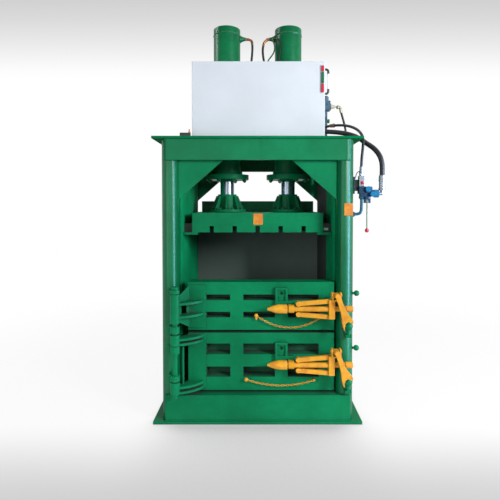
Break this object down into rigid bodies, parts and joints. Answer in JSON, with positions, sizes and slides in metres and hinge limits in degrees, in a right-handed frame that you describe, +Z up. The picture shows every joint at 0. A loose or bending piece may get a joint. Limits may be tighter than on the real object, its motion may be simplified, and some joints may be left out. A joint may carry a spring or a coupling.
{
  "type": "recycling baler",
  "caption": "Vertical hydraulic recycling baler: green steel frame, two press cylinders over a platen, two hinged doors with yellow screw latches, hand valve and control cabinet.",
  "frame": {"origin": "centre of the base plate's underside", "axes": "+Z up, -Y towards the front with the doors, +X to the right seen from the front"},
  "size_m": [1.637, 1.2, 2.948],
  "materials": {
    "green_paint": "satin",
    "chamber_paint": "worn satin",
    "chrome_rod": "polished",
    "bright_bolts": "zinc",
    "latch_yellow": "satin",
    "cabinet_paint": "satin",
    "power_unit_paint": "satin",
    "shoe_nylon": "worn",
    "hose_rubber": "matte",
    "valve_steel": "machined",
    "valve_blue": "gloss",
    "label_orange": "satin",
    "black_plastic": "matte",
    "red_plastic": "gloss",
    "start_green": "gloss"
  },
  "bodies": {
    "frame": {"base_plate": "green_paint", "top_plate": "green_paint", "front_columns": "green_paint", "rear_columns": "green_paint", "headers": "green_paint", "floor_frame": "green_paint", "corner_gussets": "green_paint", "side_walls": "green_paint", "wall_ribs": "green_paint", "cylinder_barrels": "green_paint", "cylinder_glands": "green_paint", "hinge_pin": "green_paint", "column_hinge_lugs": "green_paint", "keeper_posts": "green_paint", "back_wall": "chamber_paint", "chamber_floor": "chamber_paint", "cylinder_bolts": "bright_bolts", "filler_cap": "bright_bolts", "column_plate": "label_orange", "cabinet_case": "cabinet_paint", "cabinet_back": "cabinet_paint", "cabinet_handle": "black_plastic", "button_housings": "black_plastic", "oil_tank": "power_unit_paint", "electric_motor": "power_unit_paint", "hydraulic_pump": "power_unit_paint", "manifold_block": "valve_steel", "valve_fittings": "valve_steel", "drain_tube": "valve_steel", "valve_body": "valve_blue", "valve_caps": "valve_blue", "valve_feed_hose": "hose_rubber", "valve_return_hose": "hose_rubber", "left_cylinder_hose": "hose_rubber", "right_cylinder_hose": "hose_rubber"},
    "platen": {"platen": "green_paint", "rod_bosses": "green_paint", "platen_shoes": "shoe_nylon", "piston_rods": "chrome_rod", "boss_bolts": "bright_bolts", "platen_plate": "label_orange"},
    "valve_lever": {"valve_lever": "valve_steel", "lever_knob": "red_plastic"},
    "upper_stop_button": {"upper_stop_button": "red_plastic"},
    "start_button": {"start_button": "start_green"},
    "lower_stop_button": {"lower_stop_button": "red_plastic"},
    "upper_door": {"upper_door_panel": "green_paint", "upper_door_hinge_leaf": "green_paint", "upper_latch_bracket": "green_paint", "upper_chain": "latch_yellow"},
    "upper_screw": {"upper_latch_screw": "latch_yellow"},
    "upper_crosshead": {"upper_latch_crosshead": "latch_yellow"},
    "upper_hook": {"upper_hook_link": "latch_yellow"},
    "lower_door": {"lower_door_panel": "green_paint", "lower_door_hinge_leaf": "green_paint", "lower_latch_bracket": "green_paint", "lower_chain": "latch_yellow"},
    "lower_screw": {"lower_latch_screw": "latch_yellow"},
    "lower_crosshead": {"lower_latch_crosshead": "latch_yellow"},
    "lower_hook": {"lower_hook_link": "latch_yellow"}
  },
  "joints": [
    {"name": "press_slide", "type": "slide", "parent": "frame", "child": "platen", "axis": [0, 0, 1], "range_m": [-0.85, 0]},
    {"name": "valve_lever_tilt", "type": "hinge", "parent": "frame", "child": "valve_lever", "pos_m": [0.777, -0.47, 1.559], "axis": [1, 0, 0], "range_deg": [-22, 22], "stiffness_Nm_per_rad": 3},
    {"name": "upper_door_hinge", "type": "hinge", "parent": "frame", "child": "upper_door", "pos_m": [-0.565, -0.605, 0.817], "axis": [0, 0, 1], "range_deg": [-110, 0]},
    {"name": "upper_screw_turn", "type": "hinge", "parent": "upper_door", "child": "upper_screw", "pos_m": [0.3, -0.58, 0.817], "axis": [1, 0, 0], "range_deg": [0, 360]},
    {"name": "upper_crosshead_slide", "type": "slide", "parent": "upper_door", "child": "upper_crosshead", "axis": [1, 0, 0], "range_m": [0, 0.012]},
    {"name": "upper_hook_swing", "type": "hinge", "parent": "upper_crosshead", "child": "upper_hook", "pos_m": [0.541, -0.59, 0.915], "axis": [1, 0, 0], "range_deg": [-100, 0]},
    {"name": "lower_door_hinge", "type": "hinge", "parent": "frame", "child": "lower_door", "pos_m": [-0.565, -0.605, 0.428], "axis": [0, 0, 1], "range_deg": [-110, 0]},
    {"name": "lower_screw_turn", "type": "hinge", "parent": "lower_door", "child": "lower_screw", "pos_m": [0.3, -0.58, 0.428], "axis": [1, 0, 0], "range_deg": [0, 360]},
    {"name": "lower_crosshead_slide", "type": "slide", "parent": "lower_door", "child": "lower_crosshead", "axis": [1, 0, 0], "range_m": [0, 0.012]},
    {"name": "lower_hook_swing", "type": "hinge", "parent": "lower_crosshead", "child": "lower_hook", "pos_m": [0.541, -0.59, 0.526], "axis": [1, 0, 0], "range_deg": [-100, 0]},
    {"name": "upper_stop_button_press", "type": "slide", "parent": "frame", "child": "upper_stop_button", "axis": [0, 1, 0], "range_m": [0, 0.006], "stiffness_N_per_m": 500},
    {"name": "start_button_press", "type": "slide", "parent": "frame", "child": "start_button", "axis": [0, 1, 0], "range_m": [0, 0.006], "stiffness_N_per_m": 500},
    {"name": "lower_stop_button_press", "type": "slide", "parent": "frame", "child": "lower_stop_button", "axis": [0, 1, 0], "range_m": [0, 0.006], "stiffness_N_per_m": 500}
  ],
  "couplings": [
    {"joint": "upper_crosshead_slide", "follows": "upper_screw_turn", "m_per_rad": 0.0019099},
    {"joint": "lower_crosshead_slide", "follows": "lower_screw_turn", "m_per_rad": 0.0019099}
  ]
}
